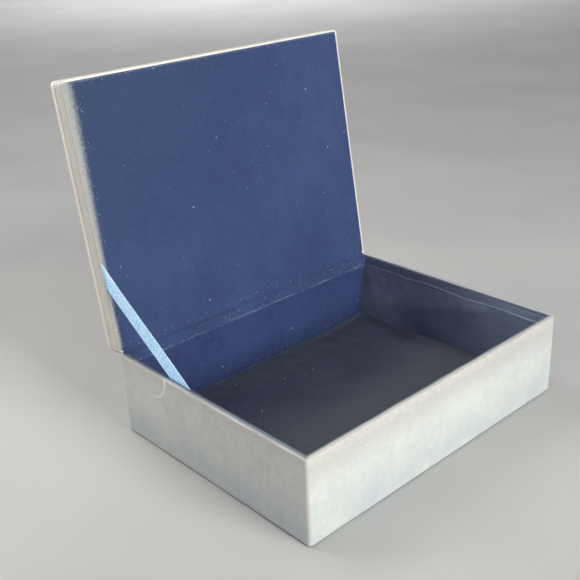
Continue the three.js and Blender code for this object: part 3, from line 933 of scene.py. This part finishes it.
def lid_cover():
    """Silver paper over the lid's top, down its sides and round its mouth."""
    corners = [
        (LIP, LIP_TOP, 0), (LIP, LIP_DEPTH, 0.35), (0, LIP_DEPTH, 0.7), (0, LID_TOP, 1.3),
        (NEAR_EDGE, LID_TOP, 0),
    ]
    outer = soft_path(corners, 0.3, closed=False)
    under = LID_TOP - COVERING
    corners = [
        (NEAR_EDGE, under, 0), (COVERING, under, 0.7), (COVERING, LIP_TOP, 0.2), (LIP, LIP_TOP, 0),
    ]
    inner = soft_path(corners, 2.0, closed=False)
    over = [(d, LID_TOP) for d in TOP_RINGS]
    back_again = [(d, under) for d in reversed(TOP_RINGS)]
    profile = np.concatenate([outer, over, back_again, inner[:-1]])
    split = len(outer) + len(over)
    thickness = np.where(np.arange(len(profile)) < split, 0.0, COVERING)
    samples = outline(LID_CORNER_RADIUS, MESH_STEP)
    points = sweep(samples, LID_CORNER_RADIUS, profile)
    inset, height = profile[None, :, 0], profile[None, :, 1]
    _, y, z = axes(points)
    side = (thickness == 0) & (inset < 1.1)
    at_back = np.clip(samples[:, 3], 0, 1)[:, None]
    not_back = 1 - ease(at_back, 0.2, 0.9)
    from_seam = z - SEAM - 0.25 * ripples(points, 60, seed=71)
    groove = bell(from_seam, 0, GROOVE_WIDTH)
    bulge = bell(z, SEAM + 2.2, 1.4)
    crease = bell(from_seam, -1.6, 0.35) + bell(from_seam, 1.5, 0.3)
    crease = crease * ease(y, 10, HALF_Y - 8)
    swell = BOARD_BULGE * bulge - GROOVE_DEPTH * groove - 0.2 * crease - LID_SINK
    swell = swell + 0.06 * ripples(points, 30, seed=72) + 0.03 * ripples(points, 7, seed=73)
    push_out(points, samples, side * swell * np.where(z > 1.0, not_back, 0.2))
    y -= at_back * spine_shift(inset, height, thickness)
    on_top = (height > LID_TOP - 1e-6) & (inset > 1.2)
    z += on_top * (0.12 * ripples(points, 80, seed=74) - TOP_SINK)
    # The board edge above the groove: wear, and a painted highlight.
    wear = BOARD_EDGE_WEAR_AND_HIGHLIGHT * ease(z, SEAM + 0.3, SEAM + 0.7) + MOUTH_WEAR * ease(z, 1.6, 0.3)
    # Dirt and painted shade in the groove and the creases.
    wear = wear - GROOVE_GRIME_AND_SHADE * ease(groove, 0.35, 0.9) - CREASE_GRIME_AND_SHADE * ease(crease, 0.4, 0.9)
    # Painted shade: the top darker away from its edges.
    shaded = TOP_SHADE * ease(inset, 3, 20) * (1 + 0.06 * ripples(points, 50, seed=75))
    wear = np.where(side, wear, TOP_EDGE_LIGHT * ease(inset, 14, 3) - shaded)
    # The lip: wear and a painted highlight, and painted shade along the left.
    on_lip = np.maximum(ease(z, 1.0, 0.5), ease(z, 1.2, 0.8) * ease(inset, 0.25, 0.6))
    at_left = np.clip(-samples[:, 2], 0, 1)[:, None]
    wear = wear * (1 - on_lip) + (LIP_WEAR_AND_HIGHLIGHT - LEFT_LIP_SHADE * at_left) * on_lip
    wear = np.clip(wear, -1, 1)
    rows, columns = points.shape[:2]
    middle = set(range(split - 1, rows * columns, columns))
    faces = lattice_faces(rows, columns, True, True)
    faces = [f for f in faces if not (f[0] in middle and f[1] == f[0] + 1)]
    faces += [tuple(range(first, rows * columns, columns)) for first in (split - 1, split)]
    cover = make_piece("lid_cover", points, faces, PAPER_LID, wear, LID)
    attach(cover, "lid")
    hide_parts("lid_cover_paper")


VELVET_REACH = 1.2
RIBBON_GAP = 2.5
PANEL_SINK = 0.12
PANEL_SKIRT = 1.6
PANEL_ROLL = 1.3

# The panel's wear: its rubbed left edge, also painted sheen, the broader haze beside it, its top edge and its
# lint.
LEFT_EDGE_WEAR_AND_SHEEN = 1.85
HAZE_WEAR = 0.16
TOP_EDGE_WEAR = 0.88
FOOT_LINT = 0.34


def lid_panel():
    """The padded velvet panel in the lid, its edges rolled and rubbed pale, the left one also painted with sheen.
    """
    half_x, half_y = HALF_X - VELVET_REACH, HALF_Y - VELVET_REACH
    ribbon_y = HALF_Y - RIBBON_FROM_HINGE

    def shape(points, inside):
        x, y, z = axes(points)
        swell = 0.18 * ripples(points, 90, seed=81) + 0.10 * ripples(points, 22, seed=82)
        z += np.where(inside > 0.98, swell, 0) + PANEL_SINK
        beside = ease(np.abs(y - ribbon_y), 12, 8.5) * ease(x, -half_x + 5, -half_x)
        x += beside * (RIBBON_GAP - VELVET_REACH)
        foot = ease(y, half_y - 16, half_y)
        z += 0.35 * foot * (0.5 + 0.5 * ripples(points, 17, seed=83))
        return points

    def worn(points, reach):
        x, y, _ = axes(points)
        from_left = x + half_x
        outer_left = ease(y, half_y - 30, -half_y)
        # The left edge: worn pile, and painted sheen.
        edge = LEFT_EDGE_WEAR_AND_SHEEN * np.clip(1.0 - from_left / (5.0 + 6.0 * outer_left), 0, 1)
        haze = HAZE_WEAR * ease(from_left, 40, 0) * outer_left
        top = TOP_EDGE_WEAR * ease(y + half_y, 3.5, 0.5)
        rolled_foot = ease(reach, 1.25, 0.8) * ease(y, half_y - 3, half_y - 2)
        lint = FOOT_LINT * ease(half_y - y, 6.0, 2.6) + 0.35 * rolled_foot
        lint = lint * (0.8 + 0.3 * ripples(points, 16, seed=84))
        return np.maximum(np.maximum(edge, lint), top) + haze

    size = (half_x, half_y, 0.0, PANEL_SKIRT, PANEL_ROLL, PAN_CORNER)
    pan = velvet_pan("lid_panel", *size, shape, LID_VELVET, LID, worn)
    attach(pan, "lid")
    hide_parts("lid_panel_velvet")


# ---- Pieces that cross the hinge ----


def on_open_lid(y, z):
    """The (y, z) of a point of the open lid, from its place relative to the pivot when shut."""
    point = SWING @ Vector((0, y * MM, z * MM))
    return point.y / MM, point.z / MM


def cross_hinge_strip(name, path, half, material, ripple, wear_at):
    """A strip along the hinge whose closed (y, z) path is the same all along X, but for ripples."""
    inner = np.linspace(-half + 3, half - 3, round(2 * half / 1.8))
    ends = np.linspace(0, 2.6, 7)
    stations = np.concatenate([-half + ends, inner, (half - ends)[::-1]])
    x = np.broadcast_to(stations[:, None], (len(stations), len(path)))
    y = np.broadcast_to(path[:, 0], x.shape)
    z = np.broadcast_to(path[:, 1], x.shape)
    points = ripple(np.stack([x, y, z], 2))
    wear = wear_at(points)
    return make_piece(name, points, bar_faces(points), material, wear, sharp=60)


def two_sided(face, thickness):
    """A closed path: face, then back along the same way at that distance to its left."""
    step = np.gradient(face, axis=0)
    step /= np.linalg.norm(step, axis=1)[:, None]
    left = np.stack([-step[:, 1], step[:, 0]], 1)
    return np.concatenate([face, (face + left * thickness)[::-1]])


STRIP_CLEAR = 0.25
STRIP_THICKNESS = 0.3
FOLD_WEAR = 0.7
STRIP_TOP_WEAR = 0.5


def spine_strip():
    """The covering strip outside, from the tray's back wall round the fold to the lid's spine."""
    out = HALF_Y + STRIP_CLEAR
    fold_z = PIVOT.z / MM - 0.35
    end = on_open_lid(STRIP_CLEAR, SPINE_RADIUS + 3.6)
    corners = [(out, STRIP_BOTTOM, 0), (out, fold_z, 0.9), (*end, 0)]
    path = two_sided(soft_path(corners, 0.7, closed=False), STRIP_THICKNESS)

    def ripple(points):
        x, y, _ = axes(points)
        over = np.clip(np.abs(x) - (HALF_X - CORNER_RADIUS), 0, CORNER_RADIUS)
        y -= CORNER_RADIUS - np.sqrt(CORNER_RADIUS**2 - over**2)
        y += 0.05 * ripples(points, 24, seed=91)
        return points

    def worn(points):
        _, y, z = axes(points)
        fold = np.hypot(y - out, z - fold_z)
        top = STRIP_TOP_WEAR * ease(z, 48.5, 47.4)
        return np.clip(FOLD_WEAR * ease(fold, 2.5, 0.5) + top, 0, 1)

    half = HALF_X - 0.6
    strip = cross_hinge_strip("spine_strip", path, half, PAPER_TRAY, ripple, worn)
    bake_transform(strip)
    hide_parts("hinge_spine_strip")


HINGE_VELVET = 0.45
HINGE_CREST = 0.55


def hinge_lining():
    """The velvet strip inside, from the back liner, over the rim and up to the lid's panel."""
    face_y = HALF_Y - LINING_FACE - CLEAR
    top = RIM + HINGE_CREST
    corners = [
        (face_y, LINER_TOP - 1, 0), (face_y, top - 0.5, 1.3), (HALF_Y - 0.9, top, 1.2),
        (*on_open_lid(-2.2, 0.1), 0.4), (*on_open_lid(-2.6, 0.9), 0),
    ]
    face = soft_path(corners, 0.7, closed=False)
    path = two_sided(face[::-1], HINGE_VELVET)

    def ripple(points):
        x, y, z = axes(points)
        y -= (0.12 + 0.2 * ease(x, -40, -105)) * ripples(points, 9, seed=95) * ease(z, 52, 55)
        z += 0.12 * ripples(points, 25, seed=96) * ease(z, 54, 58)
        return points

    def worn(points):
        left_end = ease(points[..., 0], -40, -105)
        crumbs = 0.2 + 0.12 * ripples(points, 22, seed=98)
        return np.clip(crumbs + 0.3 * left_end * ripples(points, 5, seed=97), 0, 0.45)

    half = HALF_X - WALL_INSET - CLEAR
    strip = cross_hinge_strip("hinge_velvet", path, half, LID_VELVET, ripple, worn)
    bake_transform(strip)
    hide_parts("hinge_lining")


def ribbon_route():
    """The CAD ribbon's stations: distance along it and x, then its start and its direction."""
    points = np.array([v.co for v in frame["nodes"]["stay_ribbon"].data.vertices]) / MM
    middle = points.mean(0)
    spread = points[:, 1:] - middle[1:]
    direction = np.linalg.eigh(spread.T @ spread)[1][:, -1]
    direction *= np.sign(direction[1])
    along = spread @ direction
    marks = sorted({round(a, 1) for a in along})
    stations = [(m - marks[0], points[np.abs(along - m) < 0.2, 0].mean()) for m in marks]
    first = points[np.abs(along - marks[0]) < 0.2].mean(0)
    across = spread @ np.array([-direction[1], direction[0]])
    return np.array(stations), first[1:], direction, across.max() - across.min()


RIBBON_STATIONS, RIBBON_START, RIBBON_WAY, RIBBON_WIDTH = ribbon_route()
RIBBON_LENGTH = RIBBON_STATIONS[-1, 0]
RIBBON_THICKNESS = 0.35


def ribbon_from_hinge():
    """How far from the hinge the ribbon's middle meets the lid's velvet face."""
    to_face = np.array([-math.sin(OPEN_ANGLE), -math.cos(OPEN_ANGLE)])
    pivot = np.array([PIVOT.y, PIVOT.z]) / MM
    travel = ((pivot - RIBBON_START) @ to_face) / (RIBBON_WAY @ to_face)
    return float(np.linalg.norm(RIBBON_START + travel * RIBBON_WAY - pivot))


RIBBON_FROM_HINGE = ribbon_from_hinge()


RIBBON_CUP = 0.28
RIBBON_BOW = 0.5
SELVEDGE_WEAR = 0.25
TAIL_WEAR = 0.9


def stay_ribbon():
    """The ribbon, taut, slightly cupped across its width, both tails tucked out of sight."""
    along = np.linspace(0, RIBBON_LENGTH, 150)
    across = np.linspace(-0.5, 0.5, 21)
    x = np.interp(along, RIBBON_STATIONS[:, 0], RIBBON_STATIONS[:, 1])
    kernel = np.hanning(65)
    x = np.convolve(np.pad(x, 32, "edge"), kernel / kernel.sum(), "valid")
    up = np.array([-RIBBON_WAY[1], RIBBON_WAY[0]])
    taut = np.sin(math.pi * along / RIBBON_LENGTH)
    free = ease(taut, 0.15, 1.0)
    place = RIBBON_START + along[:, None] * RIBBON_WAY - (RIBBON_BOW * free)[:, None] * up
    cup = RIBBON_CUP * (4 * across**2)[None, :] * free[:, None]
    width = RIBBON_WIDTH * across[None, :]
    sheet = np.stack([x[:, None] + cup, *(place[:, i, None] + width * up[i] for i in (0, 1))], 2)
    edge_wave = 0.05 * ripples(sheet, 13, seed=101) * (2 * np.abs(across))[None, :] ** 3
    sheet[..., 0] += edge_wave * free[:, None]
    back = sheet.copy()
    back[..., 0] -= RIBBON_THICKNESS
    loop = np.concatenate([sheet, back[:, ::-1]], 1)
    selvedge = SELVEDGE_WEAR * ease(np.abs(across), 0.42, 0.46)
    tail = TAIL_WEAR * ease(along, RIBBON_LENGTH - 20, RIBBON_LENGTH - 12)[:, None]
    wear = np.clip(selvedge[None, :] + tail * ease(across, 0.1, 0.5), 0, 1)
    wear = np.concatenate([wear, wear[:, ::-1]], 1)
    faces = bar_faces(loop)
    ribbon = make_piece("ribbon", loop, faces, RIBBON, wear, sharp=50)
    add_weave_map(ribbon)
    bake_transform(ribbon)
    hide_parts("stay_ribbon")


def add_weave_map(ribbon):
    """UVs in millimetres, across and along the ribbon, for its weave."""
    layer = ribbon.data.uv_layers.new(name="weave")
    start = np.array([0, *RIBBON_START])
    way = np.array([0, *RIBBON_WAY])
    up = np.array([0, -RIBBON_WAY[1], RIBBON_WAY[0]])
    for loop in ribbon.data.loops:
        place = np.array(ribbon.data.vertices[loop.vertex_index].co) / MM - start
        layer.data[loop.index].uv = (place @ up, place @ way)


# ---- Hidden CAD pieces, stage, lights and camera ----


def finish_hidden_nodes():
    """The hidden boards, cards, stays and pads keep their CAD shapes and get real finishes."""
    slots = {s["node"]: s["material_slot"] for s in frame["record"]["subparts"]}
    for name, node in frame["nodes"].items():
        node.data.materials.clear()
        node.data.materials.append(HIDDEN[slots[name]])


FLOOR_RADIUS = 9
FLOOR_DROP = 0.0002
FLOOR_GREYS = ((0.46, 0.46, 0.46), (0.50, 0.50, 0.495))


def stage():
    n = Nodes("pale_floor", FLOOR_GREYS[0])
    n.set(IOR=1.3, Roughness=0.8)
    n.paint(n.between(n.noise(220), 0.3, 0.7), FLOOR_GREYS[1])
    bpy.ops.mesh.primitive_circle_add(
        vertices=96, radius=FLOOR_RADIUS, fill_type="NGON", location=(0, 0, -FLOOR_DROP)
    )
    floor = bpy.context.object
    floor.name = "stage_floor"
    floor.data.materials.append(n.finish())


# The softboxes: name, place, target, size, power in watts, colour and spread in degrees.
LIGHTS = (
    ("key", (0.20, -1.50, 0.95), (0, -0.05, 0.05), 0.7, 22.5, (0.99, 1, 0.95), 180),
    ("glow", (-0.25, -2.20, 0.55), (-0.08, -0.09, 0.04), 0.2, 0.56, (0.96, 1, 0.92), 30),
    ("top", (-0.15, 0.95, 1.35), (0, 0.1, 0.1), 0.7, 8.5, (1, 0.99, 0.97), 180),
    ("backdrop", (2.0, 2.4, 2.4), (2.0, 2.401, 0), 1.6, 22, (1, 1, 1), 75),
    ("edge", (-0.45, 0.42, 0.40), (-0.1, 0.1, 0.16), 0.25, 1.35, (1, 0.95, 0.88), 180),
)
SKY_COLOR = (0.93, 0.96, 1, 1)
SKY_STRENGTH = 0.185
SUN_ANGLE = math.radians(40)


def lamp(name, kind, place, target, power, **values):
    data = bpy.data.lights.new(name, kind)
    data.energy = power
    for key, value in values.items():
        setattr(data, key, value)
    thing = bpy.data.objects.new(name, data)
    thing.location = place
    way = Vector(target) - thing.location
    thing.rotation_euler = way.to_track_quat("-Z", "Y").to_euler()
    bpy.context.scene.collection.objects.link(thing)


def lights():
    world = bpy.data.worlds.new("studio")
    bpy.context.scene.world = world
    world.use_nodes = True
    sky = world.node_tree.nodes["Background"].inputs
    sky["Color"].default_value = SKY_COLOR
    sky["Strength"].default_value = SKY_STRENGTH
    for name, place, target, size, power, color, spread in LIGHTS:
        spread = math.radians(spread)
        lamp(name, "AREA", place, target, power, size=size, color=color, spread=spread)
    lamp("soft_sun", "SUN", place=(0.1, 0.8, 2), target=(0, 0, 0), power=0.5, angle=SUN_ANGLE)


# Where the camera stands, in metres, and its angles, in degrees.
CAMERA_PLACE = (-0.39296, -0.38956, 0.33835)
CAMERA_AZIMUTH = -41.764
CAMERA_ELEVATION = 23.907
CAMERA_ROLL = -2.834
CAMERA_LENS = 56.38


def camera():
    azimuth, elevation, roll = map(math.radians, (CAMERA_AZIMUTH, CAMERA_ELEVATION, CAMERA_ROLL))
    flat = math.cos(elevation)
    back = Vector((math.sin(azimuth) * flat, -math.cos(azimuth) * flat, math.sin(elevation)))
    level = Vector((0, 0, 1)).cross(back).normalized()
    upright = back.cross(level)
    right = math.cos(roll) * level + math.sin(roll) * upright
    up = math.cos(roll) * upright - math.sin(roll) * level
    data = bpy.data.cameras.new("camera")
    data.lens = CAMERA_LENS
    data.sensor_width = 36
    data.clip_start, data.clip_end = 0.01, 50
    cam = bpy.data.objects.new("camera", data)
    turn = Matrix((right, up, back)).transposed().to_4x4()
    cam.matrix_world = Matrix.Translation(CAMERA_PLACE) @ turn
    bpy.context.scene.collection.objects.link(cam)
    bpy.context.scene.camera = cam


bpy.context.scene.view_settings.view_transform = "Standard"
camera()
lights()
stage()
finish_hidden_nodes()
tray_cover()
rim_linings()
wall_liners()
floor_pad()
lid_cover()
lid_panel()
spine_strip()
hinge_lining()
stay_ribbon()
